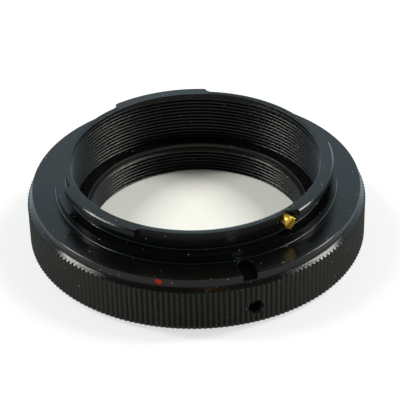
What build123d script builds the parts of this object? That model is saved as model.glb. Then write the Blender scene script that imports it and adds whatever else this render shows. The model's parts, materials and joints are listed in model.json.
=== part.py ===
"""Lens mount adapter: a knurled bayonet body that holds a lens thread ring with three set screws.

Z = 0 is the lens seat and +Z points into the camera. Sizes are in millimetres, angles in degrees,
counted from +X towards +Y as seen from the camera side.
"""

import os
from math import acos, cos, degrees, pi, radians, sin, tan

from build123d import *

# Threads: both are plain bores at their pitch diameter
LENS_THREAD_D = 42.0
REAR_THREAD_D = 48.0
THREAD_PITCH = 0.75
THREAD_FLANK_ANGLE = 30.0
PITCH_LINE_SHARE = 3 / 8

# Lens thread ring
RING_WALL = 6.6
RING_HEIGHT = 6.15
RING_RELIEF = 0.5
RING_RELIEF_DEPTH = 0.9
RING_LEAD_IN = 0.15
GROOVE_DEPTH = 1.0
GROOVE_DROP = 2.2
RING_GAP = 0.05
RING_END_GAP = 0.05

# Grip and flange
REGISTER = 11.0
SEAT_PROUD = 0.4
BODY_WALL = 4.6
KNURL_DEPTH = 0.5
KNURL_PITCH = 1.0
KNURL_RUNOUT = 0.12
SHOULDER_WIDTH = 1.0
SHOULDER_DROP = 0.65
SHOULDER_LEDGE = 0.05
RIM_BAND_HEIGHT = 1.75

# Bayonet
BAYONET_HEIGHT = 5.3
NECK_WALL = 1.15
COLLAR_STEP = 2.0
COLLAR_HEIGHT = 1.75
LUG_REACH = 1.3
LUG_THICKNESS = 1.25
LUG_CHAMFER_WIDTH = 0.35
LUG_CHAMFER_DROP = 0.23
LUG_END_RADIUS = 1.5
LUG_STARTS_AND_SPANS = ((84.9, 42.0), (201.7, 42.6), (315.4, 54.2))

# Lock-pin slot in the flange
SLOT_ANGLE = 287.0
SLOT_WIDTH = 2.7
SLOT_DEPTH = 1.45
SLOT_LAND = 0.2

# Set screws
SET_SCREW_COUNT = 3
SET_SCREW_ANGLE = 288.4
SET_SCREW_D = 2.5
SET_SCREW_LENGTH = 3.4
SET_SCREW_TIP_FLAT = 0.5
SET_SCREW_GAP = 0.04
SET_SCREW_SEAT_GAP = 0.05
SET_SCREW_SLOT_WIDTH = 0.45
SET_SCREW_SLOT_DEPTH = 0.6

# Stop screw
STOP_ANGLE = 310.2
STOP_HEAD_D = 2.45
STOP_HEAD_HEIGHT = 1.7
STOP_HEAD_CHAMFER = 0.12
STOP_SHANK_D = 1.6
STOP_SHANK_INSET = 0.1
STOP_SHANK_GAP = 0.02
STOP_SLOT_WIDTH = 0.45
STOP_SLOT_DEPTH = 0.55
STOP_SLOT_TURN = 32.0
SPOT_FACE_D = 3.7
SPOT_FACE_DEPTH = 0.45

# Index dot
DOT_ANGLE = 256.8
DOT_D = 1.3
DOT_DEPTH = 0.4
DOT_SINK = 0.1

# Broken edges
EDGE_BREAK = 0.15

# Cutters run this far past the faces they open
CUT_PAST = 1.0

# Radii
thread_height = THREAD_PITCH / 2 / tan(radians(THREAD_FLANK_ANGLE))
lens_bore_r = LENS_THREAD_D / 2 - PITCH_LINE_SHARE * thread_height
rear_bore_r = REAR_THREAD_D / 2 - PITCH_LINE_SHARE * thread_height
ring_r = lens_bore_r + RING_WALL
relief_r = lens_bore_r + RING_RELIEF
recess_r = ring_r + RING_GAP
knurl_root_r = recess_r + BODY_WALL
knurl_r = knurl_root_r + KNURL_DEPTH
flange_r = knurl_r - SHOULDER_WIDTH
neck_r = rear_bore_r + NECK_WALL
collar_r = neck_r + COLLAR_STEP
lug_r = neck_r + LUG_REACH

# Heights
groove_z = RING_HEIGHT - GROOVE_DROP
ceiling_z = RING_HEIGHT + RING_END_GAP
band_bottom_z = REGISTER - RIM_BAND_HEIGHT
knurl_top_z = band_bottom_z - SHOULDER_DROP
collar_top_z = REGISTER + COLLAR_HEIGHT
rim_top_z = REGISTER + BAYONET_HEIGHT
lug_bottom_z = rim_top_z - LUG_THICKNESS
stop_z = collar_top_z + SPOT_FACE_D / 2
dot_z = REGISTER - RIM_BAND_HEIGHT / 2

# Seats of the screws, as distances from the axis
set_screw_tip_r = ring_r - GROOVE_DEPTH + SET_SCREW_SEAT_GAP + SET_SCREW_TIP_FLAT / 2
spot_face_r = neck_r - SPOT_FACE_DEPTH

FROM_BASE = (Align.CENTER, Align.CENTER, Align.MIN)


def turned(points):
    """Solid turned about Z from a closed outline of (radius, height) points."""
    return revolve(Plane.XZ * make_face(Polyline(*points, close=True)), Axis.Z)


def radial(angle, height):
    """Plane on the axis at a height, whose normal points outwards at an angle."""
    outwards = (cos(radians(angle)), sin(radians(angle)), 0)
    return Plane(origin=(0, 0, height), x_dir=(0, 0, 1), z_dir=outwards)


def set_screw_planes():
    """One radial plane for each set screw, the first near the lock-pin slot."""
    return [
        radial(SET_SCREW_ANGLE + number * 360 / SET_SCREW_COUNT, groove_z)
        for number in range(SET_SCREW_COUNT)
    ]


def knurled_prism(teeth):
    """Prism with a straight vee knurl all round, as tall as the body."""
    half_tooth = pi / teeth
    points = []
    for corner in range(2 * teeth):
        radius = knurl_root_r if corner % 2 else knurl_r
        points.append((radius * cos(corner * half_tooth), radius * sin(corner * half_tooth)))
    return extrude(make_face(Polyline(*points, close=True)), amount=rim_top_z)


def bevelled_stock(teeth):
    """Grip stock that slopes in at both ends, with one flat across each tooth."""
    slope = SHOULDER_DROP / SHOULDER_WIDTH
    rings = (
        (knurl_root_r - KNURL_RUNOUT, SEAT_PROUD),
        (knurl_r + CUT_PAST, SEAT_PROUD + KNURL_DEPTH + KNURL_RUNOUT + CUT_PAST),
        (knurl_r + CUT_PAST, knurl_top_z - CUT_PAST * slope),
        (flange_r + SHOULDER_LEDGE, band_bottom_z - SHOULDER_LEDGE * slope),
    )
    half_tooth = Rot(0, 0, 180 / teeth)
    sections = [Pos(0, 0, height) * half_tooth * RegularPolygon(radius, teeth) for radius, height in rings]
    return loft(sections, ruled=True)


def grip():
    """Knurled stock under the flange, before it is bored."""
    teeth = round(2 * pi * knurl_r / KNURL_PITCH)
    return knurled_prism(teeth) & bevelled_stock(teeth)


def bayonet_blank():
    """Turned flange, collar and neck, before boring and with the lugs still a full ring."""
    return turned(
        [
            (0, band_bottom_z - CUT_PAST),
            (flange_r, band_bottom_z - CUT_PAST),
            (flange_r, REGISTER - EDGE_BREAK),
            (flange_r - EDGE_BREAK, REGISTER),
            (collar_r, REGISTER),
            (collar_r, collar_top_z - EDGE_BREAK),
            (collar_r - EDGE_BREAK, collar_top_z),
            (neck_r, collar_top_z),
            (neck_r, lug_bottom_z),
            (lug_r, lug_bottom_z),
            (lug_r, rim_top_z - LUG_CHAMFER_DROP),
            (lug_r - LUG_CHAMFER_WIDTH, rim_top_z),
            (0, rim_top_z),
        ]
    )


def inside():
    """What the boring bar takes out: the thread ring's recess and the threaded bore with its broken edge."""
    return turned(
        [
            (0, SEAT_PROUD - CUT_PAST),
            (recess_r, SEAT_PROUD - CUT_PAST),
            (recess_r, ceiling_z),
            (rear_bore_r, ceiling_z),
            (rear_bore_r, rim_top_z - EDGE_BREAK),
            (rear_bore_r + EDGE_BREAK + CUT_PAST, rim_top_z + CUT_PAST),
            (0, rim_top_z + CUT_PAST),
        ]
    )


def lug_gap(start, end):
    """Path of the end mill that clears the neck between two lugs, from corner to corner."""
    path_r = neck_r + LUG_END_RADIUS
    corner_cos = (path_r**2 + lug_r**2 - LUG_END_RADIUS**2) / (2 * path_r * lug_r)
    inset = degrees(acos(corner_cos))
    path = CenterArc((0, 0), path_r, start + inset, end - start - 2 * inset)
    cutter = extrude(SlotArc(path, 2 * LUG_END_RADIUS), amount=LUG_THICKNESS + CUT_PAST)
    return Pos(0, 0, lug_bottom_z) * cutter


def lug_gaps():
    """The cuts between each lug and the next one round."""
    gaps = []
    for number, (start, span) in enumerate(LUG_STARTS_AND_SPANS):
        next_start = LUG_STARTS_AND_SPANS[(number + 1) % len(LUG_STARTS_AND_SPANS)][0]
        gap_start = start + span
        gap_end = gap_start + (next_start - gap_start) % 360
        gaps.append(lug_gap(gap_start, gap_end))
    return gaps


def lock_pin_slot():
    """Round-ended radial slot that opens through the flange's rim."""
    inner_end = collar_r + SLOT_LAND + SLOT_WIDTH / 2
    run = knurl_r + CUT_PAST - inner_end
    outline = Circle(SLOT_WIDTH / 2)
    outline += Rectangle(run, SLOT_WIDTH, align=(Align.MIN, Align.CENTER))
    cutter = extrude(outline, amount=SLOT_DEPTH + CUT_PAST)
    return Rot(0, 0, SLOT_ANGLE) * Pos(inner_end, 0, REGISTER - SLOT_DEPTH) * cutter


def radial_cut(plane, diameter, inner_r):
    """Drill or cutter along a radial plane's normal, from inner_r out past the grip."""
    length = knurl_r + CUT_PAST - inner_r
    return plane * Pos(0, 0, inner_r) * Cylinder(diameter / 2, length, align=FROM_BASE)


def make_bayonet_body():
    body = grip() + bayonet_blank()
    body -= inside()
    for gap in lug_gaps():
        body -= gap
    body -= lock_pin_slot()
    for plane in set_screw_planes():
        body -= radial_cut(plane, SET_SCREW_D + 2 * SET_SCREW_GAP, recess_r - CUT_PAST)
    stop = radial(STOP_ANGLE, stop_z)
    body -= radial_cut(stop, SPOT_FACE_D, spot_face_r)
    shank_bore = Cylinder(STOP_SHANK_D / 2 + STOP_SHANK_GAP, 2 * NECK_WALL, align=FROM_BASE)
    body -= stop * Pos(0, 0, rear_bore_r - CUT_PAST / 2) * shank_bore
    body -= radial_cut(radial(DOT_ANGLE, dot_z), DOT_D, flange_r - DOT_DEPTH)
    return body


def make_thread_ring():
    thread_top_z = RING_HEIGHT - RING_RELIEF_DEPTH
    points = [
        (lens_bore_r + RING_LEAD_IN, 0),
        (ring_r, 0),
        (ring_r, groove_z - GROOVE_DEPTH),
        (ring_r - GROOVE_DEPTH, groove_z),
        (ring_r, groove_z + GROOVE_DEPTH),
        (ring_r, RING_HEIGHT),
        (relief_r, RING_HEIGHT),
        (relief_r, thread_top_z),
        (lens_bore_r, thread_top_z - RING_RELIEF),
        (lens_bore_r, RING_LEAD_IN),
    ]
    return turned(points)


def make_set_screw(plane):
    """Slotted cone-point screw, with its tip in the ring's groove."""
    screw_r = SET_SCREW_D / 2
    tip_r = SET_SCREW_TIP_FLAT / 2
    tip_height = screw_r - tip_r
    shank_height = SET_SCREW_LENGTH - tip_height
    screw = Cone(tip_r, screw_r, tip_height, align=FROM_BASE)
    screw += Pos(0, 0, tip_height) * Cylinder(screw_r, shank_height, align=FROM_BASE)
    slot = Box(SET_SCREW_SLOT_WIDTH, SET_SCREW_D + CUT_PAST, SET_SCREW_SLOT_DEPTH + CUT_PAST, align=FROM_BASE)
    screw -= Pos(0, 0, SET_SCREW_LENGTH - SET_SCREW_SLOT_DEPTH) * slot
    return plane * Pos(0, 0, set_screw_tip_r) * screw


def make_stop_screw():
    """Slotted cheese-head screw, seated on the spot face of the neck."""
    head_r = STOP_HEAD_D / 2
    head = Cylinder(head_r, STOP_HEAD_HEIGHT, align=FROM_BASE)
    rim = head.edges().filter_by(GeomType.CIRCLE).sort_by(Axis.Z)[-1]
    head = chamfer(rim, STOP_HEAD_CHAMFER)
    slot = Box(STOP_SLOT_WIDTH, STOP_HEAD_D + CUT_PAST, STOP_SLOT_DEPTH + CUT_PAST, align=FROM_BASE)
    head -= Rot(0, 0, STOP_SLOT_TURN) * Pos(0, 0, STOP_HEAD_HEIGHT - STOP_SLOT_DEPTH) * slot
    shank_length = NECK_WALL - SPOT_FACE_DEPTH - STOP_SHANK_INSET
    shank = Cylinder(STOP_SHANK_D / 2, shank_length, align=(Align.CENTER, Align.CENTER, Align.MAX))
    return radial(STOP_ANGLE, stop_z) * Pos(0, 0, spot_face_r) * (head + shank)


def make_index_dot():
    """Paint that fills the dimple to just under the rim."""
    paint = Cylinder(DOT_D / 2, DOT_DEPTH - DOT_SINK, align=FROM_BASE)
    return radial(DOT_ANGLE, dot_z) * Pos(0, 0, flange_r - DOT_DEPTH) * paint


def main():
    nodes = {
        "bayonet_body": make_bayonet_body(),
        "thread_ring": make_thread_ring(),
        "stop_screw": make_stop_screw(),
        "index_dot": make_index_dot(),
    }
    for number, plane in enumerate(set_screw_planes(), start=1):
        nodes[f"set_screw_{number}"] = make_set_screw(plane)
    os.makedirs("parts", exist_ok=True)
    for node, shape in nodes.items():
        export_step(shape, f"parts/{node}.step")


main()
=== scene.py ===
"""Lens mount adapter: finished meshes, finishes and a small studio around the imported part.

Laid out as an add-on and run as a script. Lengths are in metres and angles in radians, in the part's
own frame: Z = 0 is the lens seat and +Z points into the camera.
"""

import json
from math import acos, atan2, cos, pi, radians, sin, sqrt, tan

import bmesh
import bpy
from bpy.props import FloatProperty, FloatVectorProperty, PointerProperty
from bpy.types import Operator, Panel, PropertyGroup
from mathutils import Matrix, Vector


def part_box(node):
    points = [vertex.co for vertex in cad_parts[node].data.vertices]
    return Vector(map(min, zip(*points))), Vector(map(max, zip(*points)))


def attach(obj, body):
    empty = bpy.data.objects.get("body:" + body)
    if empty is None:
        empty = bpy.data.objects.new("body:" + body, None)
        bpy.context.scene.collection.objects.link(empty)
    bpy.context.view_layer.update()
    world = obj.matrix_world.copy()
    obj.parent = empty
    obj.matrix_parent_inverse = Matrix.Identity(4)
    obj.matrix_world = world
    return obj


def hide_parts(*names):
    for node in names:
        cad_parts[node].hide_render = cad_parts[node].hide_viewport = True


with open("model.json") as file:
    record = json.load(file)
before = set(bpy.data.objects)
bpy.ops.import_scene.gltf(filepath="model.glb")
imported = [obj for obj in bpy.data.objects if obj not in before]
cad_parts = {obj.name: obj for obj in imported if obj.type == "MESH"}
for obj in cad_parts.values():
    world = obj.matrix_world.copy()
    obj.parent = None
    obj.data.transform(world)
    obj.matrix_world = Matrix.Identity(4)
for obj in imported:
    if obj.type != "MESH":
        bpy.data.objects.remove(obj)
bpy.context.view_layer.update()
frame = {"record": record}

bl_info = {
    "name": "Lens mount adapter",
    "version": (1, 0, 0),
    "blender": (4, 5, 0),
    "location": "View3D > Sidebar > Adapter",
    "description": "Models and finishes the pieces of a lens mount adapter around its packed part",
    "category": "Mesh",
}

MM = 0.001
FULL_TURN = 2 * pi
SAME_PLACE = 0.001 * MM
CUT_PAST = 1.0 * MM
FLOOR_SIZE = 4.0

# Divisions of the turned surfaces and of the small roundings
RING_STEPS = 360
DRILL_STEPS = 48
SCREW_STEPS = 64
ROUND_SEGMENTS = 4
DISH_RINGS = 5

SET_SCREWS = 3
# Edges sharper than these stay sharp in the shading
SMOOTH_ANGLE = radians(30)
PAINT_SMOOTH_ANGLE = radians(40)

# Where the surround changes: heights, and depths along Y, of a direction of length 1
HIGH_SKY = (0.54, 0.68)
HORIZON = (0.22, 0.34)
FRONT = (-0.7, -0.1)

SENSOR_WIDTH = 36
CLIP_START = 0.01

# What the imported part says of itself
mounts = {mount["name"]: mount for mount in frame["record"]["mounts"]}
body_low, body_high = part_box("bayonet_body")
ring_low, ring_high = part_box("thread_ring")


def mount_radius(name):
    """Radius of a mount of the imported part, in metres."""
    return mounts[name]["dims"]["r_mm"] * MM


def mount_height(name):
    """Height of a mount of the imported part, in metres."""
    return mounts[name]["pos_m"][2]


def length(name, description, value):
    """A size that the user can change, in metres."""
    return FloatProperty(name=name, description=description, default=value, unit="LENGTH", precision=6)


def turn(name, description, value):
    """An angle that the user can change, given in degrees."""
    return FloatProperty(name=name, description=description, default=radians(value), subtype="ANGLE")


def colour(name, description, value):
    """A linear colour that the user can change."""
    return FloatVectorProperty(
        name=name, description=description, default=value, size=3, min=0.0, max=1.0, subtype="COLOR"
    )


def share(name, description, value, most=1.0):
    """A plain number that the user can change."""
    return FloatProperty(name=name, description=description, default=value, min=0.0, max=most)


class AdapterBody(PropertyGroup):
    """Sizes of the knurled bayonet body"""

    grip_radius: length("Grip radius", "Over the crests of the knurl", body_high.x)
    knurl_depth: length("Knurl depth", "From the crests to the roots", 0.56 * MM)
    knurl_pitch: length("Knurl pitch", "From one crest to the next", 1.0 * MM)
    crest_flat: length("Crest flat", "Width of the blunted crests", 0.06 * MM)
    foot_chamfer: length("Foot chamfer", "Along the lower ends of the knurl's teeth", 0.35 * MM)
    shoulder_width: length("Shoulder width", "From the crests in to the flange's rim", 1.0 * MM)
    shoulder_drop: length("Shoulder drop", "Height of the sloped shoulder", 0.65 * MM)
    rim_band: length("Rim band", "Height of the plain band under the flange", 1.75 * MM)
    flange_height: length("Flange height", "From the lens seat", mount_height("camera_flange"))
    collar_radius: length("Collar radius", "Of the centring collar", mount_radius("centring_collar"))
    collar_height: length("Collar height", "Above the flange", 1.75 * MM)
    collar_step: length("Collar step", "From the collar in to the neck", 2.0 * MM)
    lug_reach: length("Lug reach", "From the neck out to the lugs", 1.3 * MM)
    lug_underside: length("Lug underside", "Height of the lugs' bearing faces", mount_height("bayonet"))
    lug_chamfer_width: length("Lug chamfer width", "Along the lugs' upper edge", 0.24 * MM)
    lug_chamfer_drop: length("Lug chamfer drop", "Along the lugs' upper edge", 0.16 * MM)
    lug_end_radius: length("Lug end radius", "Of the end mill that clears the gaps", 1.5 * MM)
    lug_starts: FloatVectorProperty(
        name="Lug starts",
        description="Angle of each lug's first corner",
        default=(radians(84.9), radians(201.7), radians(315.4)),
        size=3,
        subtype="EULER",
    )
    lug_spans: FloatVectorProperty(
        name="Lug spans",
        description="Angle from each lug's first corner to its last",
        default=(radians(42.0), radians(42.6), radians(54.2)),
        size=3,
        subtype="EULER",
    )
    recess_radius: length("Recess radius", "Of the room for the thread ring", ring_high.x + 0.05 * MM)
    ceiling_height: length("Recess ceiling", "From the lens seat", ring_high.z + 0.05 * MM)
    rim_land: length("Rim land", "Plain bore above the rear thread", 0.7 * MM)
    thread_runout: turn("Thread runout", "Where the rear thread ends under the land", 270.0)
    edge_round: length("Edge rounding", "Of the turned edges", 0.12 * MM)
    flange_break_width: length("Flange break width", "Along the flange's outer edge", 0.10 * MM)
    flange_break_drop: length("Flange break drop", "Along the flange's outer edge", 0.07 * MM)
    corner_round: length("Corner rounding", "Of the corners under the collar and the neck", 0.18 * MM)
    slot_angle: turn("Slot angle", "Place of the lock-pin slot in the flange", 287.0)
    slot_width: length("Slot width", "Of the lock-pin slot", 2.7 * MM)
    slot_depth: length("Slot depth", "Below the flange", 1.45 * MM)
    slot_land: length("Slot land", "From the collar to the slot's round end", 0.2 * MM)
    slot_chamfer: length("Slot chamfer", "Along the slot's upper edge", 0.1 * MM)


class AdapterThreads(PropertyGroup):
    """Sizes of the threads and of the lens thread ring"""

    rear_pitch_radius: length("Rear pitch radius", "Of the camera-side thread", mount_radius("rear_thread"))
    lens_pitch_radius: length("Lens pitch radius", "Of the lens thread", mount_radius("lens_thread"))
    pitch: length("Pitch", "Of both bored threads", 0.75 * MM)
    flank_angle: turn("Flank angle", "Of the thread's flanks from square", 30.0)
    ring_radius: length("Ring radius", "Outside of the thread ring", ring_high.x)
    ring_height: length("Ring height", "Of the thread ring", ring_high.z)
    relief: length("Relief", "From the lens thread's pitch line out to the relief", 0.5 * MM)
    relief_depth: length("Relief depth", "Of the plain bore above the lens thread", 0.9 * MM)
    lead_in: length("Lead-in", "Chamfer at the lens seat", 0.15 * MM)
    groove_depth: length("Groove depth", "Of the set screws' vee groove", 1.0 * MM)
    groove_drop: length("Groove drop", "From the ring's top to the groove", 2.2 * MM)


class AdapterScrews(PropertyGroup):
    """Sizes of the set screws, the stop screw and the index dot"""

    set_angle: turn("Set screw angle", "Place of the first set screw around the grip", 288.4)
    set_diameter: length("Set screw diameter", "Over the thread", 2.5 * MM)
    set_length: length("Set screw length", "From tip to slotted end", 3.4 * MM)
    set_tip: length("Set screw tip", "Width of the cone's blunt tip", 0.5 * MM)
    set_pitch: length("Set screw pitch", "Of its thread", 0.45 * MM)
    set_gap: length("Set screw gap", "Between screw and hole", 0.04 * MM)
    set_seat_gap: length("Set screw seat gap", "Between tip and groove", 0.05 * MM)
    set_slot_width: length("Set screw slot width", "Of the driver slot", 0.45 * MM)
    set_slot_depth: length("Set screw slot depth", "Of the driver slot", 0.6 * MM)
    hole_mouth: length("Hole mouth", "Depth of the countersink in the grip", 0.62 * MM)
    hole_flare: turn("Hole flare", "Of the countersink's side from the hole's", 28.0)
    stop_angle: turn("Stop angle", "Place of the stop screw around the neck", 310.2)
    stop_head_diameter: length("Stop head diameter", "Of the stop screw", 2.45 * MM)
    stop_head_height: length("Stop head height", "Of the stop screw", 1.7 * MM)
    stop_head_round: length("Stop head rounding", "Of the head's edge", 0.12 * MM)
    stop_shank_diameter: length("Stop shank diameter", "Of the stop screw", 1.6 * MM)
    stop_shank_inset: length("Stop shank inset", "From the shank's end to the bore", 0.1 * MM)
    stop_slot_width: length("Stop slot width", "Of the driver slot", 0.45 * MM)
    stop_slot_depth: length("Stop slot depth", "Of the driver slot", 0.55 * MM)
    stop_slot_turn: turn("Stop slot turn", "Of the driver slot", 32.0)
    spot_diameter: length("Spot face diameter", "Of the seat milled for the stop screw", 3.7 * MM)
    spot_depth: length("Spot face depth", "Into the neck", 0.45 * MM)
    dot_angle: turn("Dot angle", "Place of the index dot on the rim", 256.8)
    dot_diameter: length("Dot diameter", "Of the painted dimple", 1.3 * MM)
    dot_depth: length("Dot depth", "Of the painted dimple", 0.4 * MM)
    dot_sink: length("Dot sink", "From the rim in to the paint's edge", 0.1 * MM)
    dot_dish: length("Dot dish", "How far the dried paint sinks at its middle", 0.16 * MM)


class AdapterFinish(PropertyGroup):
    """Colours and textures of the finishes"""

    anodise: colour("Anodise", "Black anodised aluminium", (0.0019, 0.0021, 0.0017))
    grip: colour("Grip", "Matt black of the rolled knurl", (0.0165, 0.0168, 0.0120))
    anodise_roughness: share("Anodise roughness", "Satin of the anodised faces", 0.08)
    grip_roughness: share("Grip roughness", "Matt of the rolled knurl", 0.36)
    thread_roughness: share("Thread roughness", "Matt of the bored threads", 0.29)
    anodise_ior: share("Anodise index", "Index of refraction of the sealed dye", 1.33, 3.0)
    oxide: colour("Black oxide", "Blackened steel of the set screws", (0.030, 0.030, 0.031))
    brass: colour("Brass", "Stop screw", (0.80, 0.50, 0.08))
    paint: colour("Paint", "Index dot", (0.46, 0.022, 0.001))
    dust: colour("Dust", "Specks on the anodised faces", (0.45, 0.45, 0.41))
    mark_spacing: length("Tool mark spacing", "Of the lathe's fine rings", 0.09 * MM)
    mark_depth: length("Tool mark depth", "Of the lathe's fine rings", 0.02 * MM)
    mark_dulling: share("Tool mark dulling", "Roughness that the rings add", 0.04)
    blotch_spacing: length("Blotch spacing", "Of handling marks on the anodise", 7.0 * MM)
    blotch_tone: share("Blotch tone", "How much lighter handled anodise is", 1.35, 3.0)
    blotch_polish: share("Blotch polish", "Roughness that wiping takes off", 0.03)
    blotch_dulling: share("Blotch dulling", "Roughness that handling adds", 0.04)
    dust_spacing: length("Dust spacing", "Of the cells that can hold a speck", 1.0 * MM)
    dust_size: share("Dust size", "Largest speck, as a share of its cell", 0.09)
    dust_share: share("Dust share", "Share of the cells with a speck", 0.75)
    dust_dulling: share("Dust dulling", "Roughness that a speck adds", 0.5)


class AdapterStage(PropertyGroup):
    """Camera, lamps and floor"""

    floor: colour("Floor", "Paper under the part", (0.90, 0.885, 0.87))
    # Painted light: the floor glows white to the camera and in reflections, by one share around the part and
    # by another through the bore, which lightens the part's shadow on the floor
    floor_painted_light: share("Floor glow", "Share of plain white seen in the floor around the part", 0.62)
    bore_painted_light: share("Bore glow", "Share of plain white seen in the floor through the bore", 0.0)
    mirrored_painted_light: share("Mirrored white", "Level of that white in reflections", 0.7)
    camera_distance: length("Camera distance", "From the middle of the body's base", 324.4 * MM)
    camera_elevation: turn("Camera elevation", "Above the floor", 35.11)
    camera_pitch: turn("Camera pitch", "Upwards from the middle of the base", 0.906)
    camera_yaw: turn("Camera yaw", "Sideways from the middle of the base", 0.118)
    camera_roll: turn("Camera roll", "About the line of sight", -1.432)
    camera_lens: FloatProperty(
        name="Camera lens", description="Focal length in millimetres on a 36 mm sensor", default=149.2
    )
    side_lamps: share("Side lamps", "Radiance of the two soft boxes", 33.0, 100.0)
    side_tint: colour("Side tint", "Of the two soft boxes", (0.98, 1.0, 0.92))
    bulb: share("Bulb", "Radiance of the warm bulb", 110.0, 500.0)
    bulb_tint: colour("Bulb tint", "Of the warm bulb", (1.0, 0.42, 0.05))
    sky_low: colour("Low sky", "Surround near the horizon", (0.71, 0.90, 1.0))
    sky_high: colour("High sky", "Surround overhead", (0.13, 0.13, 0.12))
    sky_strength: share("Sky strength", "Of the surround", 1.42, 10.0)
    front_gain: share("Front gain", "Level of the surround on the camera's side", 0.385)
    horizon_gain: share("Horizon gain", "How much brighter the surround is near the floor", 2.02, 10.0)


def settings(name):
    """One of the add-on's property groups."""
    return getattr(bpy.context.scene, name)


# Hand tools


def pick(piece, test, kind="VERT"):
    """Select, in edit mode, the vertices, edges or faces that pass a test."""
    bpy.ops.mesh.select_mode(type=kind)
    bpy.ops.mesh.select_all(action="DESELECT")
    mesh = bmesh.from_edit_mesh(piece.data)
    parts = {"VERT": mesh.verts, "EDGE": mesh.edges, "FACE": mesh.faces}[kind]
    chosen = [part for part in parts if test(part)]
    if not chosen:
        raise RuntimeError(f"nothing to select on {piece.name}")
    for part in chosen:
        part.select_set(True)
    mesh.select_flush_mode()
    bmesh.update_edit_mesh(piece.data)


def is_at(place):
    """Test for a vertex at a place."""
    return lambda vertex: (vertex.co - place).length < SAME_PLACE


def drawn(name, places, closed):
    """Extrude a chain of edges from place to place; leaves the new object in edit mode."""
    bpy.ops.mesh.primitive_plane_add(size=MM)
    piece = bpy.context.object
    piece.name = name
    piece.data.name = name
    bpy.ops.object.mode_set(mode="EDIT")
    bpy.ops.mesh.select_mode(type="VERT")
    bpy.ops.mesh.select_all(action="SELECT")
    bpy.ops.mesh.merge(type="CENTER")
    bpy.ops.transform.translate(value=places[0])
    for before, place in zip(places, places[1:]):
        bpy.ops.mesh.extrude_vertices_move(TRANSFORM_OT_translate={"value": place - before})
    if closed:
        ends = (places[0], places[-1])
        pick(piece, lambda vertex: any(is_at(end)(vertex) for end in ends))
        bpy.ops.mesh.edge_face_add()
    return piece


def clean_up():
    """Merge doubles and turn all faces outwards, in edit mode, then leave it."""
    bpy.ops.mesh.select_mode(type="VERT")
    bpy.ops.mesh.select_all(action="SELECT")
    bpy.ops.mesh.remove_doubles(threshold=SAME_PLACE)
    bpy.ops.mesh.normals_make_consistent(inside=False)
    bpy.ops.object.mode_set(mode="OBJECT")


def turned(name, outline, steps):
    """Turn an outline of (radius, height) or (radius, height, rounding) points about Z.

    An outline that starts and ends on the axis stays open there, and any other one is closed.
    """
    places = [Vector((point[0], 0, point[1])) for point in outline]
    closed = outline[0][0] > 0 and outline[-1][0] > 0
    piece = drawn(name, places, closed)
    roundings = {place.freeze(): point[2] for place, point in zip(places, outline) if len(point) == 3}
    for rounding in sorted(set(roundings.values())):
        corners = [place for place, value in roundings.items() if value == rounding]
        pick(piece, lambda vertex: any(is_at(corner)(vertex) for corner in corners))
        bpy.ops.mesh.bevel(offset=rounding, affect="VERTICES", segments=ROUND_SEGMENTS)
    bpy.ops.mesh.select_all(action="SELECT")
    bpy.ops.mesh.spin(steps=steps, angle=FULL_TURN, center=(0, 0, 0), axis=(0, 0, 1))
    clean_up()
    return piece


def select_only(piece):
    """Make an object the only selected one, and the active one."""
    bpy.ops.object.select_all(action="DESELECT")
    piece.select_set(True)
    bpy.context.view_layer.objects.active = piece


def apply_modifier(piece, kind, **values):
    """Add a modifier, set its values and apply it."""
    select_only(piece)
    bpy.ops.object.modifier_add(type=kind)
    modifier = piece.modifiers[-1]
    for key, value in values.items():
        setattr(modifier, key, value)
    bpy.ops.object.modifier_apply(modifier=modifier.name)


def apply_place(piece):
    """Put an object's place into its mesh."""
    select_only(piece)
    bpy.ops.object.transform_apply(location=True, rotation=True, scale=True)


def stand_out(piece, angle, height, distance=0.0):
    """Point a piece that was turned about Z outwards at an angle, its own X axis upwards."""
    outwards = Vector((cos(angle), sin(angle), 0))
    up = Vector((0, 0, 1))
    turned_axes = Matrix((up, outwards.cross(up), outwards)).transposed().to_4x4()
    piece.matrix_world = Matrix.Translation(outwards * distance + up * height) @ turned_axes
    apply_place(piece)
    return piece


def cut(piece, *cutters):
    """Subtract cutters that don't meet each other from a piece, and throw them away."""
    for cutter in cutters:
        apply_modifier(piece, "BOOLEAN", operation="DIFFERENCE", solver="EXACT", object=cutter)
        bpy.data.objects.remove(cutter)


def thread_cutter(
    mouth_radius, root_radius, start_height, turns, pitch, flank_angle, steps, start_angle=0.0
):
    """Tool path of a right-hand vee thread, from its open mouth to its root."""
    root_half = pitch / 16
    mouth_half = root_half + abs(root_radius - mouth_radius) * tan(flank_angle)
    section = [
        Vector((mouth_radius, 0, start_height - mouth_half)),
        Vector((root_radius, 0, start_height - root_half)),
        Vector((root_radius, 0, start_height + root_half)),
        Vector((mouth_radius, 0, start_height + mouth_half)),
    ]
    piece = drawn("thread_cutter", section, closed=True)
    bpy.ops.object.mode_set(mode="OBJECT")
    apply_modifier(
        piece,
        "SCREW",
        axis="Z",
        angle=FULL_TURN,
        screw_offset=pitch,
        iterations=turns,
        steps=steps,
        render_steps=steps,
    )
    bpy.ops.object.mode_set(mode="EDIT")
    bpy.ops.mesh.select_mode(type="EDGE")
    bpy.ops.mesh.select_all(action="DESELECT")
    bpy.ops.mesh.select_non_manifold()
    bpy.ops.mesh.fill_holes(sides=len(section))
    clean_up()
    piece.rotation_euler.z = start_angle
    apply_place(piece)
    return piece


def slot_cutter(width, depth, reach, top, about=0.0):
    """Straight driver slot across a screw's end at a height, turned about the screw's axis."""
    bpy.ops.mesh.primitive_cube_add(
        size=1,
        location=(0, 0, top - depth + reach / 2),
        rotation=(0, 0, about),
        scale=(width, reach, reach),
    )
    piece = bpy.context.object
    apply_place(piece)
    return piece


def smoothed(piece, angle=SMOOTH_ANGLE):
    """Shade curved faces smooth and keep flat ones flat."""
    select_only(piece)
    bpy.ops.object.shade_smooth_by_angle(angle=angle)
    apply_modifier(piece, "WEIGHTED_NORMAL", keep_sharp=True)


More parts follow.
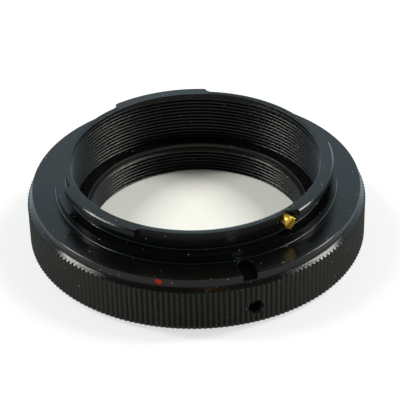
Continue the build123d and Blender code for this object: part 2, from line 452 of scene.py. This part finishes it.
def hand_over(piece, node, body, material):
    """Give a finished piece its finish, and let it stand for its node."""
    piece.data.materials.clear()
    piece.data.materials.append(material)
    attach(piece, body)
    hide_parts(node)


# Finishes


def feed(tree, node, feeds):
    """Feed a node's sockets with numbers or with other nodes' outputs."""
    for socket, value in feeds.items():
        if isinstance(value, bpy.types.NodeSocket):
            tree.links.new(value, node.inputs[socket])
        else:
            node.inputs[socket].default_value = value


def add(tree, kind, feeds=None, **values):
    """Add a node, set its own values, and feed its sockets."""
    made = tree.nodes.new(kind)
    for key, value in values.items():
        setattr(made, key, value)
    feed(tree, made, feeds or {})
    return made


def math(tree, operation, first, second=0.0):
    """Output of a two-sided math node."""
    return add(tree, "ShaderNodeMath", {0: first, 1: second}, operation=operation).outputs[0]


def new_group(name, numbers, result):
    """Empty node group that takes a place and some numbers and gives one number."""
    group = bpy.data.node_groups.new(name, "ShaderNodeTree")
    group.interface.new_socket("Place", in_out="INPUT", socket_type="NodeSocketVector")
    for socket, value in numbers.items():
        made = group.interface.new_socket(socket, in_out="INPUT", socket_type="NodeSocketFloat")
        made.default_value = value
    group.interface.new_socket(result, in_out="OUTPUT", socket_type="NodeSocketFloat")
    return group, group.nodes.new("NodeGroupInput").outputs, group.nodes.new("NodeGroupOutput")


def turned_place(group, place):
    """Distance from the part's axis and height above the lens seat."""
    axes = add(group, "ShaderNodeSeparateXYZ", {0: place}).outputs
    flat = add(group, "ShaderNodeCombineXYZ", {"X": axes["X"], "Y": axes["Y"]})
    radius = add(group, "ShaderNodeVectorMath", {0: flat.outputs[0]}, operation="LENGTH")
    return radius.outputs["Value"], axes["Z"]


def lathe_marks_group():
    """Fine rings that a lathe leaves, the same all the way round the axis."""
    group, given, result = new_group("Lathe marks", {"Spacing": 0.1 * MM}, "Height")
    radius, height = turned_place(group, given["Place"])
    section = add(group, "ShaderNodeCombineXYZ", {"X": radius, "Y": height}).outputs[0]
    scale = math(group, "DIVIDE", 1.0, given["Spacing"])
    look = {"Vector": section, "Scale": scale, "Detail": 2.0, "Roughness": 0.6}
    feed(group, result, {"Height": add(group, "ShaderNodeTexNoise", look).outputs["Fac"]})
    return group


def dust_group():
    """Scattered specks of dust and lint."""
    numbers = {"Spacing": 2.0 * MM, "Size": 0.05, "Share": 0.3}
    group, given, result = new_group("Dust specks", numbers, "Mask")
    scale = math(group, "DIVIDE", 1.0, given["Spacing"])
    cells = add(group, "ShaderNodeTexVoronoi", {"Vector": given["Place"], "Scale": scale}).outputs
    tone = add(group, "ShaderNodeSeparateColor", {0: cells["Color"]}).outputs
    size = math(group, "MULTIPLY", given["Size"], tone["Green"])
    near = math(group, "LESS_THAN", cells["Distance"], size)
    kept = math(group, "LESS_THAN", tone["Red"], given["Share"])
    feed(group, result, {"Mask": math(group, "MULTIPLY", near, kept)})
    return group


def handling_group():
    """Soft blotches left by fingers and by wiping."""
    group, given, result = new_group("Handling marks", {"Spacing": 6.0 * MM}, "Blotch")
    scale = math(group, "DIVIDE", 1.0, given["Spacing"])
    look = {"Detail": 4.0, "Roughness": 0.55, "Distortion": 0.4}
    blotch = add(group, "ShaderNodeTexNoise", {"Vector": given["Place"], "Scale": scale, **look})
    feed(group, result, {"Blotch": blotch.outputs["Fac"]})
    return group


def zone_group():
    """1 between two radii and under a height, and 0 elsewhere."""
    group, given, result = new_group("Turned zone", {"Inner": 0.0, "Outer": 1.0, "Top": 1.0}, "Mask")
    radius, height = turned_place(group, given["Place"])
    past = math(group, "GREATER_THAN", radius, given["Inner"])
    within = math(group, "LESS_THAN", radius, given["Outer"])
    under = math(group, "LESS_THAN", height, given["Top"])
    feed(group, result, {"Mask": math(group, "MULTIPLY", math(group, "MULTIPLY", past, within), under)})
    return group


def effect(tree, name, build, feeds):
    """A shared effect placed in a material, its group built on first use."""
    group = bpy.data.node_groups.get(name) or build()
    return add(tree, "ShaderNodeGroup", feeds, node_tree=group)


def empty_material(name):
    """Material with a Principled shader, and the object's coordinates."""
    material = bpy.data.materials.new(name)
    material.use_nodes = True
    tree = material.node_tree
    place = add(tree, "ShaderNodeTexCoord").outputs["Object"]
    return material, tree, tree.nodes["Principled BSDF"], place


def spread(tree, value, low, high, bounds=(0.0, 1.0)):
    """Map a value between two bounds onto a range."""
    feeds = {"Value": value, "From Min": bounds[0], "From Max": bounds[1], "To Min": low, "To Max": high}
    return add(tree, "ShaderNodeMapRange", feeds).outputs["Result"]


def mixed(tree, factor, first, second):
    """Output of a colour mix."""
    return add(tree, "ShaderNodeMix", {0: factor, 6: first, 7: second}, data_type="RGBA").outputs[2]


def bumped(tree, shader, height, strength, distance):
    """Feed a height into a shader's normal."""
    bump = add(tree, "ShaderNodeBump", {"Height": height, "Strength": strength, "Distance": distance})
    tree.links.new(bump.outputs["Normal"], shader.inputs["Normal"])


def opaque(value):
    """A colour with its alpha."""
    return (*value, 1.0)


def anodise_material():
    """Black anodised aluminium: satin, but matt on the knurl and in the threads, with marks and dust."""
    existing = bpy.data.materials.get("black_anodise_finish")
    if existing:
        return existing
    finish = settings("adapter_finish")
    body = settings("adapter_body")
    flange, _, _ = body_radii()
    _, bores = thread_radii(settings("adapter_threads").rear_pitch_radius)
    material, tree, shader, place = empty_material("black_anodise_finish")
    marks = effect(tree, "Lathe marks", lathe_marks_group, {"Place": place, "Spacing": finish.mark_spacing})
    handling = {"Place": place, "Spacing": finish.blotch_spacing}
    blotch = effect(tree, "Handling marks", handling_group, handling)
    specks = {"Spacing": finish.dust_spacing, "Size": finish.dust_size, "Share": finish.dust_share}
    dust = effect(tree, "Dust specks", dust_group, {"Place": place, **specks})
    dyed = [channel * finish.blotch_tone for channel in finish.anodise]
    tone = mixed(tree, blotch.outputs["Blotch"], opaque(finish.anodise), opaque(dyed))
    shoulder_foot = body.flange_height - body.rim_band - body.shoulder_drop
    grip = {"Place": place, "Inner": flange, "Top": shoulder_foot}
    knurled = effect(tree, "Turned zone", zone_group, grip)
    tone = mixed(tree, knurled.outputs["Mask"], tone, opaque(finish.grip))
    dusty = mixed(tree, dust.outputs["Mask"], tone, opaque(finish.dust))
    tree.links.new(dusty, shader.inputs["Base Color"])
    satin = finish.anodise_roughness
    handled = (satin - finish.blotch_polish, satin + finish.blotch_dulling)
    wiped = spread(tree, blotch.outputs["Blotch"], *handled)
    grooved = math(tree, "MULTIPLY", marks.outputs["Height"], finish.mark_dulling)
    dulled = math(tree, "MULTIPLY", dust.outputs["Mask"], finish.dust_dulling)
    rough = math(tree, "ADD", math(tree, "ADD", wiped, grooved), dulled)
    threaded = effect(tree, "Turned zone", zone_group, {"Place": place, "Outer": bores + 0.05 * MM})
    rough = spread(tree, knurled.outputs["Mask"], rough, finish.grip_roughness)
    rough = spread(tree, threaded.outputs["Mask"], rough, finish.thread_roughness)
    tree.links.new(rough, shader.inputs["Roughness"])
    shader.inputs["IOR"].default_value = finish.anodise_ior
    bumped(tree, shader, marks.outputs["Height"], 1.0, finish.mark_depth)
    return material


def blotched_material(name, tone, spacing, wear, most, roughness, bump, depth, constants):
    """Finish whose tone drifts in blotches towards a worn one, and its roughness over a range."""
    material, tree, shader, place = empty_material(name)
    marks = effect(tree, "Handling marks", handling_group, {"Place": place, "Spacing": spacing})
    blotch = marks.outputs["Blotch"]
    worn = [channel * wear for channel in tone]
    drifted = mixed(tree, spread(tree, blotch, 0.0, most), opaque(tone), opaque(worn))
    feed(tree, shader, {"Base Color": drifted, "Roughness": spread(tree, blotch, *roughness), **constants})
    bumped(tree, shader, blotch, bump, depth)
    return material


def oxide_material():
    """Black oxide on the steel set screws."""
    wear = {"spacing": 1.2 * MM, "wear": 2.2, "most": 1.0, "roughness": (0.28, 0.5)}
    relief = {"bump": 0.1, "depth": 0.02 * MM}
    oxide = settings("adapter_finish").oxide
    return blotched_material("black_oxide_finish", oxide, **wear, **relief, constants={"Metallic": 0.7})


def brass_material():
    """Bright turned brass, a little tarnished."""
    wear = {"spacing": 0.5 * MM, "wear": 0.62, "most": 0.7, "roughness": (0.24, 0.46)}
    relief = {"bump": 0.08, "depth": 0.03 * MM}
    brass = settings("adapter_finish").brass
    return blotched_material("brass_finish", brass, **wear, **relief, constants={"Metallic": 1.0})


def paint_material():
    """Thick gloss paint, run unevenly into its dimple."""
    wear = {"spacing": 0.45 * MM, "wear": 0.55, "most": 1.0, "roughness": (0.4, 0.7)}
    relief = {"bump": 0.2, "depth": 0.05 * MM}
    paint = settings("adapter_finish").paint
    constants = {"Specular IOR Level": 0.12}
    return blotched_material("red_paint_finish", paint, **wear, **relief, constants=constants)


# The bayonet body


def thread_radii(pitch_radius):
    """Crest and root of a bored thread, from its pitch line."""
    threads = settings("adapter_threads")
    full_depth = threads.pitch / 2 / tan(threads.flank_angle)
    return pitch_radius - full_depth / 4, pitch_radius + full_depth * 3 / 8


def body_radii():
    """Radii that the body's outline and its cuts share."""
    body = settings("adapter_body")
    flange = body.grip_radius - body.shoulder_width
    neck = body.collar_radius - body.collar_step
    return flange, neck, neck + body.lug_reach


def body_outline():
    """Section of the turned body, with the lugs still a full ring."""
    body = settings("adapter_body")
    flange, neck, lug = body_radii()
    band_bottom = body.flange_height - body.rim_band
    collar_top = body.flange_height + body.collar_height
    top = body_high.z
    base = body_low.z
    land = settings("adapter_threads").rear_pitch_radius
    crest, _ = thread_radii(land)
    land_bottom = top - body.rim_land
    return [
        (body.recess_radius, base, body.edge_round),
        (body.grip_radius - body.foot_chamfer, base),
        (body.grip_radius, base + body.foot_chamfer),
        (body.grip_radius, band_bottom - body.shoulder_drop),
        (flange, band_bottom),
        (flange, body.flange_height - body.flange_break_drop),
        (flange - body.flange_break_width, body.flange_height),
        (body.collar_radius, body.flange_height, body.corner_round),
        (body.collar_radius, collar_top),
        (neck, collar_top, body.corner_round),
        (neck, body.lug_underside),
        (lug, body.lug_underside),
        (lug, top - body.lug_chamfer_drop),
        (lug - body.lug_chamfer_width, top),
        (land, top, body.edge_round),
        (land, land_bottom),
        (crest, land_bottom - (land - crest) / 2),
        (crest, body.ceiling_height),
        (body.recess_radius, body.ceiling_height),
    ]


def press_knurl(piece, teeth):
    """Push every other column of the grip in to the knurl's roots, then blunt the crests."""
    body = settings("adapter_body")
    half_tooth = FULL_TURN / teeth / 2
    root = body.grip_radius - body.knurl_depth
    shoulder_foot = body.flange_height - body.rim_band - body.shoulder_drop
    rise = body.knurl_depth * body.shoulder_drop / body.shoulder_width
    foot = body.grip_radius - body.foot_chamfer
    drop = 4 * SAME_PLACE - body.foot_chamfer

    def is_on(radius):
        return lambda vertex: abs(vertex.co.xy.length - radius) < SAME_PLACE

    def is_root_at(radius, height):
        return lambda vertex: (
            is_on(radius)(vertex)
            and abs(vertex.co.z - height) < SAME_PLACE
            and round(atan2(vertex.co.y, vertex.co.x) / half_tooth) % 2 == 1
        )

    bpy.ops.object.mode_set(mode="EDIT")
    for radius, height, lift in (
        (body.grip_radius, shoulder_foot, rise),
        (body.grip_radius, body_low.z + body.foot_chamfer, drop),
        (foot, body_low.z, 0),
    ):
        pick(piece, is_root_at(radius, height))
        scale = root / radius
        bpy.ops.transform.resize(value=(scale, scale, 1), center_override=(0, 0, 0))
        bpy.ops.transform.translate(value=(0, 0, lift))
    on_crest = is_on(body.grip_radius)
    pick(piece, lambda edge: all(on_crest(vertex) for vertex in edge.verts), "EDGE")
    bpy.ops.mesh.bevel(offset=body.crest_flat / sqrt(2), affect="EDGES", segments=1)
    bpy.ops.object.mode_set(mode="OBJECT")


def lug_gap_cutter(start, end):
    """Path of the end mill between two lugs, from corner to corner."""
    body = settings("adapter_body")
    _, neck, lug = body_radii()
    radius = body.lug_end_radius
    path = neck + radius + 2 * SAME_PLACE
    inset = acos((path**2 + lug**2 - radius**2) / (2 * path * lug))
    first = start + inset
    sweep = end - start - 2 * inset
    below = body.lug_underside - body.lug_reach / 4
    centre = Vector((path * cos(first), path * sin(first), below))
    bpy.ops.mesh.primitive_circle_add(
        vertices=DRILL_STEPS, radius=radius, fill_type="NGON", location=centre, rotation=(0, 0, first)
    )
    piece = bpy.context.object
    apply_place(piece)
    onwards = Vector((-sin(first), cos(first), 0))
    bpy.ops.object.mode_set(mode="EDIT")
    pick(piece, lambda vertex: (vertex.co - centre).dot(onwards) > -SAME_PLACE)
    bpy.ops.mesh.spin(
        steps=round(sweep * RING_STEPS / FULL_TURN), angle=-sweep, center=(0, 0, 0), axis=(0, 0, 1)
    )
    bpy.ops.mesh.select_all(action="SELECT")
    rise = body_high.z + CUT_PAST - below
    bpy.ops.mesh.extrude_region_move(TRANSFORM_OT_translate={"value": (0, 0, rise)})
    clean_up()
    return piece


def lug_gap_cutters():
    """One cutter for each gap between a lug and the next one round."""
    body = settings("adapter_body")
    cutters = []
    for number, start in enumerate(body.lug_starts):
        end = start + body.lug_spans[number]
        following = body.lug_starts[(number + 1) % len(body.lug_starts)]
        cutters.append(lug_gap_cutter(end, end + (following - end) % FULL_TURN))
    return cutters


def lock_pin_slot_cutter():
    """Round-ended radial slot with a chamfered upper edge, open through the rim."""
    body = settings("adapter_body")
    half = body.slot_width / 2
    inner_end = body.collar_radius + body.slot_land + half
    piece = turned(
        "slot_cutter",
        [
            (0, -body.slot_depth),
            (half, -body.slot_depth),
            (half, -body.slot_chamfer),
            (half + CUT_PAST, CUT_PAST - body.slot_chamfer),
            (0, CUT_PAST - body.slot_chamfer),
        ],
        DRILL_STEPS,
    )
    bpy.ops.object.mode_set(mode="EDIT")
    pick(piece, lambda vertex: vertex.co.x > SAME_PLACE)
    bpy.ops.transform.translate(value=(body.grip_radius + CUT_PAST - inner_end, 0, 0))
    bpy.ops.object.mode_set(mode="OBJECT")
    outwards = Vector((cos(body.slot_angle), sin(body.slot_angle), 0)) * inner_end
    piece.matrix_world = Matrix.Translation((outwards.x, outwards.y, body.flange_height)) @ Matrix.Rotation(
        body.slot_angle, 4, "Z"
    )
    apply_place(piece)
    return piece


def set_screw_angles():
    """Where the three set screws stand around the grip."""
    first = settings("adapter_screws").set_angle
    return [first + number * FULL_TURN / SET_SCREWS for number in range(SET_SCREWS)]


def groove_height():
    """Height of the set screws and of the ring's groove."""
    threads = settings("adapter_threads")
    return threads.ring_height - threads.groove_drop


def set_screw_hole_cutter(angle):
    """Radial drill with a countersink that goes down to the knurl's roots."""
    body = settings("adapter_body")
    screws = settings("adapter_screws")
    radius = screws.set_diameter / 2 + screws.set_gap
    outside = body.grip_radius + CUT_PAST
    mouth = body.grip_radius - screws.hole_mouth
    inside = body.recess_radius - CUT_PAST
    flared = radius + (outside - mouth) * tan(screws.hole_flare)
    outline = [(0, inside), (radius, inside), (radius, mouth), (flared, outside), (0, outside)]
    return stand_out(turned("hole_cutter", outline, DRILL_STEPS), angle, groove_height())


def stop_height():
    """Height of the stop screw, whose spot face just clears the collar."""
    body = settings("adapter_body")
    return body.flange_height + body.collar_height + settings("adapter_screws").spot_diameter / 2


def spot_face_cutter():
    """Spot face of the stop screw, with the hole for its shank."""
    body = settings("adapter_body")
    screws = settings("adapter_screws")
    _, neck, _ = body_radii()
    shank = screws.stop_shank_diameter / 2 + screws.set_gap / 2
    inside = settings("adapter_threads").rear_pitch_radius - CUT_PAST / 2
    seat = neck - screws.spot_depth
    spot = screws.spot_diameter / 2 - 2 * SAME_PLACE
    outside = body.grip_radius
    outline = [(0, inside), (shank, inside), (shank, seat), (spot, seat), (spot, outside), (0, outside)]
    return stand_out(turned("spot_cutter", outline, DRILL_STEPS), screws.stop_angle, stop_height())


def dot_height():
    """Height of the index dot, midway up the rim band."""
    body = settings("adapter_body")
    return body.flange_height - body.rim_band / 2


def dimple_cutter():
    """Drilled dimple that holds the paint."""
    screws = settings("adapter_screws")
    flange, _, _ = body_radii()
    radius = screws.dot_diameter / 2
    floor = flange - screws.dot_depth
    outline = [(0, floor), (radius, floor), (radius, flange + CUT_PAST), (0, flange + CUT_PAST)]
    return stand_out(turned("dimple_cutter", outline, DRILL_STEPS), screws.dot_angle, dot_height())


def rear_thread_cutter():
    """Tool path of the camera-side thread, from the recess up to its runout under the rim's land."""
    body = settings("adapter_body")
    threads = settings("adapter_threads")
    crest, root = thread_radii(threads.rear_pitch_radius)
    mouth = crest - threads.pitch / 8
    end = body_high.z - body.rim_land - threads.pitch * 3 / 8
    turns = int((end - body.ceiling_height) / threads.pitch) + 2
    start = end - turns * threads.pitch
    return thread_cutter(
        mouth, root, start, turns, threads.pitch, threads.flank_angle, RING_STEPS, body.thread_runout
    )


class ADAPTER_OT_bayonet_body(Operator):
    """Turn, knurl, mill, drill and thread the bayonet body"""

    bl_idname = "adapter.bayonet_body"
    bl_label = "Bayonet body"

    def execute(self, context):
        body = settings("adapter_body")
        teeth = round(FULL_TURN * body.grip_radius / body.knurl_pitch)
        piece = turned("knurled_body", body_outline(), 2 * teeth)
        press_knurl(piece, teeth)
        cut(piece, *lug_gap_cutters())
        cut(piece, lock_pin_slot_cutter(), spot_face_cutter(), dimple_cutter())
        cut(piece, *[set_screw_hole_cutter(angle) for angle in set_screw_angles()])
        cut(piece, rear_thread_cutter())
        smoothed(piece)
        hand_over(piece, "bayonet_body", "body", anodise_material())
        return {"FINISHED"}


class ADAPTER_OT_thread_ring(Operator):
    """Turn and thread the lens thread ring"""

    bl_idname = "adapter.thread_ring"
    bl_label = "Thread ring"

    def execute(self, context):
        threads = settings("adapter_threads")
        body = settings("adapter_body")
        crest, root = thread_radii(threads.lens_pitch_radius)
        relief = threads.lens_pitch_radius + threads.relief
        seat_edge = threads.lens_pitch_radius + threads.lead_in
        thread_top = threads.ring_height - threads.relief_depth
        groove = groove_height()
        outline = [
            (seat_edge, 0),
            (threads.ring_radius, 0, body.edge_round),
            (threads.ring_radius, groove - threads.groove_depth),
            (threads.ring_radius - threads.groove_depth, groove),
            (threads.ring_radius, groove + threads.groove_depth),
            (threads.ring_radius, threads.ring_height, body.edge_round),
            (relief, threads.ring_height, body.edge_round),
            (relief, thread_top),
            (crest, thread_top - (relief - crest) / 4),
            (crest, seat_edge - crest),
        ]
        piece = turned("lens_thread_ring", outline, RING_STEPS)
        turns = int(thread_top / threads.pitch) + 2
        mouth = crest - threads.pitch / 8
        start = -threads.pitch / 2
        cut(piece, thread_cutter(mouth, root, start, turns, threads.pitch, threads.flank_angle, RING_STEPS))
        smoothed(piece)
        hand_over(piece, "thread_ring", "ring", anodise_material())
        return {"FINISHED"}


class ADAPTER_OT_set_screws(Operator):
    """Turn, thread and slot the three cone-point set screws"""

    bl_idname = "adapter.set_screws"
    bl_label = "Set screws"

    def execute(self, context):
        screws = settings("adapter_screws")
        threads = settings("adapter_threads")
        radius = screws.set_diameter / 2
        tip = screws.set_tip / 2
        cone = radius - tip
        lead = screws.set_pitch / 3
        root = radius - screws.set_pitch / 2
        seat = threads.ring_radius - threads.groove_depth + screws.set_seat_gap + tip
        outline = [
            (0, 0),
            (tip, 0),
            (radius, cone),
            (radius, screws.set_length - lead),
            (radius - lead, screws.set_length),
            (0, screws.set_length),
        ]
        turns = int((screws.set_length - cone) / screws.set_pitch) + 2
        finish = oxide_material()
        for number, angle in enumerate(set_screw_angles(), start=1):
            piece = turned(f"grub_screw_{number}", outline, SCREW_STEPS)
            mouth = radius + screws.set_pitch / 16
            cut(
                piece,
                thread_cutter(
                    mouth, root, cone / 2, turns, screws.set_pitch, threads.flank_angle, SCREW_STEPS
                ),
                slot_cutter(screws.set_slot_width, screws.set_slot_depth, 4 * radius, screws.set_length),
            )
            stand_out(piece, angle, groove_height(), seat)
            smoothed(piece)
            hand_over(piece, f"set_screw_{number}", f"screw_{number}", finish)
        return {"FINISHED"}


class ADAPTER_OT_stop_screw(Operator):
    """Turn and slot the brass stop screw"""

    bl_idname = "adapter.stop_screw"
    bl_label = "Stop screw"

    def execute(self, context):
        screws = settings("adapter_screws")
        _, neck, _ = body_radii()
        seat = neck - screws.spot_depth
        head = screws.stop_head_diameter / 2
        shank = screws.stop_shank_diameter / 2
        shank_end = settings("adapter_threads").rear_pitch_radius + screws.stop_shank_inset - seat
        top = screws.stop_head_height
        outline = [
            (0, shank_end),
            (shank, shank_end),
            (shank, 0),
            (head, 0),
            (head, top, screws.stop_head_round),
            (0, top),
        ]
        piece = turned("brass_stop", outline, SCREW_STEPS)
        cut(
            piece,
            slot_cutter(screws.stop_slot_width, screws.stop_slot_depth, 4 * head, top, screws.stop_slot_turn),
        )
        stand_out(piece, screws.stop_angle, stop_height(), seat)
        smoothed(piece)
        hand_over(piece, "stop_screw", "body", brass_material())
        return {"FINISHED"}


class ADAPTER_OT_index_dot(Operator):
    """Fill the index dimple with dished paint"""

    bl_idname = "adapter.index_dot"
    bl_label = "Index dot"

    def execute(self, context):
        screws = settings("adapter_screws")
        flange, _, _ = body_radii()
        radius = screws.dot_diameter / 2
        height = screws.dot_depth - screws.dot_sink
        dish = [
            (
                radius * (DISH_RINGS - ring) / DISH_RINGS,
                height - screws.dot_dish * sin(pi / 2 * ring / DISH_RINGS),
            )
            for ring in range(DISH_RINGS + 1)
        ]
        piece = turned("paint_dot", [(0, 0), (radius, 0), *dish], DRILL_STEPS)
        stand_out(piece, screws.dot_angle, dot_height(), flange - screws.dot_depth)
        smoothed(piece, PAINT_SMOOTH_ANGLE)
        hand_over(piece, "index_dot", "body", paint_material())
        return {"FINISHED"}


# The stage


def floor_material():
    """Pale paper, near white to the camera and in reflections, with painted light: a white glow lightens the
    part's shadow on the floor around the part, and the floor seen through the bore glows by its own share.
    """
    stage = settings("adapter_stage")
    body = settings("adapter_body")
    material, tree, shader, place = empty_material("floor_paper")
    tree.nodes.remove(shader)
    paper = add(tree, "ShaderNodeBsdfDiffuse", {"Color": opaque(stage.floor)})
    path = add(tree, "ShaderNodeLightPath").outputs
    # Painted reflection: in the part's reflections the glow is held at its own level
    level = spread(tree, path["Is Camera Ray"], stage.mirrored_painted_light, 1.0)
    white = add(tree, "ShaderNodeEmission", {"Color": (1, 1, 1, 1), "Strength": level})
    seen = math(tree, "MAXIMUM", path["Is Camera Ray"], path["Is Glossy Ray"])
    reach = {"Place": place, "Inner": body.recess_radius, "Outer": FLOOR_SIZE}
    outside = effect(tree, "Turned zone", zone_group, reach)
    # Painted fill light: the floor around the part glows by one share and the floor through the bore by
    # another, which lightens the part's shadow around it
    glow = spread(tree, outside.outputs["Mask"], stage.bore_painted_light, stage.floor_painted_light)
    mix = add(
        tree,
        "ShaderNodeMixShader",
        {0: math(tree, "MULTIPLY", seen, glow), 1: paper.outputs[0], 2: white.outputs[0]},
    )
    tree.links.new(mix.outputs[0], tree.nodes["Material Output"].inputs["Surface"])
    return material


def studio_world():
    """White to the camera; to the part a pale horizon under a dim ceiling."""
    stage = settings("adapter_stage")
    world = bpy.data.worlds.new("studio")
    world.use_nodes = True
    tree = world.node_tree
    direction = add(tree, "ShaderNodeTexCoord").outputs["Generated"]
    axes = add(tree, "ShaderNodeSeparateXYZ", {0: direction}).outputs
    rise = axes["Z"]
    sky = mixed(tree, spread(tree, rise, 0.0, 1.0, HIGH_SKY), opaque(stage.sky_low), opaque(stage.sky_high))
    surround = tree.nodes["Background"]
    tree.links.new(sky, surround.inputs["Color"])
    low = spread(tree, rise, stage.horizon_gain, 1.0, HORIZON)
    front = spread(tree, axes["Y"], stage.front_gain, 1.0, FRONT)
    strength = math(tree, "MULTIPLY", math(tree, "MULTIPLY", low, front), stage.sky_strength)
    tree.links.new(strength, surround.inputs["Strength"])
    white = add(tree, "ShaderNodeBackground", {"Color": (1, 1, 1, 1), "Strength": 1.0})
    seen = add(tree, "ShaderNodeLightPath").outputs["Is Camera Ray"]
    mix = add(tree, "ShaderNodeMixShader", {0: seen, 1: surround.outputs[0], 2: white.outputs[0]})
    tree.links.new(mix.outputs[0], tree.nodes["World Output"].inputs["Surface"])
    bpy.context.scene.world = world


def lamp(name, azimuth, elevation, distance, width, height, radiance, tint):
    """Oblong lamp aimed at the part, its strength given as radiance."""
    towards = Vector((cos(elevation) * cos(azimuth), cos(elevation) * sin(azimuth), sin(elevation)))
    bpy.ops.object.light_add(type="AREA", location=towards * distance)
    made = bpy.context.object
    made.name = name
    made.rotation_euler = towards.to_track_quat("Z", "Y").to_euler()
    made.data.shape = "RECTANGLE"
    made.data.size = width
    made.data.size_y = height
    made.data.energy = radiance * pi * width * height
    made.data.color = tint


def photo_camera():
    """Camera at the photograph's viewing angle."""
    stage = settings("adapter_stage")
    base = Vector((0, 0, body_low.z))
    away = Vector((0, -cos(stage.camera_elevation), sin(stage.camera_elevation)))
    sight = -away
    right = Vector((1, 0, 0))
    up = right.cross(sight)
    sight = (sight + tan(stage.camera_pitch) * up + tan(stage.camera_yaw) * right).normalized()
    right = sight.cross(Vector((0, 0, 1))).normalized()
    up = right.cross(sight)
    roll = Matrix.Rotation(-stage.camera_roll, 3, sight)
    right.rotate(roll)
    up.rotate(roll)
    bpy.ops.object.camera_add()
    camera = bpy.context.object
    camera.name = "photo_camera"
    axes = Matrix((right, up, -sight)).transposed().to_4x4()
    camera.matrix_world = Matrix.Translation(base + away * stage.camera_distance) @ axes
    camera.data.lens = stage.camera_lens
    camera.data.sensor_width = SENSOR_WIDTH
    camera.data.clip_start = CLIP_START
    bpy.context.scene.camera = camera


class ADAPTER_OT_stage(Operator):
    """Set the floor, the lamps, the surround and the camera"""

    bl_idname = "adapter.stage"
    bl_label = "Stage"

    def execute(self, context):
        stage = settings("adapter_stage")
        bpy.ops.mesh.primitive_plane_add(size=FLOOR_SIZE)
        floor = bpy.context.object
        floor.name = "paper_floor"
        floor.data.materials.append(floor_material())
        studio_world()
        box = {"distance": 0.7, "radiance": stage.side_lamps, "tint": stage.side_tint}
        bulb = {"distance": 0.8, "radiance": stage.bulb, "tint": stage.bulb_tint}
        lamp("left_box", radians(161.5), radians(49.5), width=0.11, height=0.24, **box)
        lamp("right_box", radians(18.5), radians(49), width=0.12, height=0.26, **box)
        lamp("warm_bulb", radians(-66.5), radians(76.2), width=0.018, height=0.018, **bulb)
        photo_camera()
        context.scene.view_settings.view_transform = "Standard"
        return {"FINISHED"}


PIECES = (
    ADAPTER_OT_bayonet_body,
    ADAPTER_OT_thread_ring,
    ADAPTER_OT_set_screws,
    ADAPTER_OT_stop_screw,
    ADAPTER_OT_index_dot,
    ADAPTER_OT_stage,
)
GROUPS = {
    "adapter_body": AdapterBody,
    "adapter_threads": AdapterThreads,
    "adapter_screws": AdapterScrews,
    "adapter_finish": AdapterFinish,
    "adapter_stage": AdapterStage,
}


class VIEW3D_PT_adapter(Panel):
    """Pieces of the adapter, in the order they are made"""

    bl_label = "Lens mount adapter"
    bl_space_type = "VIEW_3D"
    bl_region_type = "UI"
    bl_category = "Adapter"

    def draw(self, context):
        for piece in PIECES:
            self.layout.operator(piece.bl_idname)


def register():
    for kind in (*GROUPS.values(), *PIECES, VIEW3D_PT_adapter):
        bpy.utils.register_class(kind)
    for name, group in GROUPS.items():
        setattr(bpy.types.Scene, name, PointerProperty(type=group))


def unregister():
    for name in GROUPS:
        delattr(bpy.types.Scene, name)
    for kind in reversed((*GROUPS.values(), *PIECES, VIEW3D_PT_adapter)):
        bpy.utils.unregister_class(kind)


def main():
    register()
    bpy.ops.adapter.bayonet_body()
    bpy.ops.adapter.thread_ring()
    bpy.ops.adapter.set_screws()
    bpy.ops.adapter.stop_screw()
    bpy.ops.adapter.index_dot()
    bpy.ops.adapter.stage()


if __name__ == "__main__":
    main()
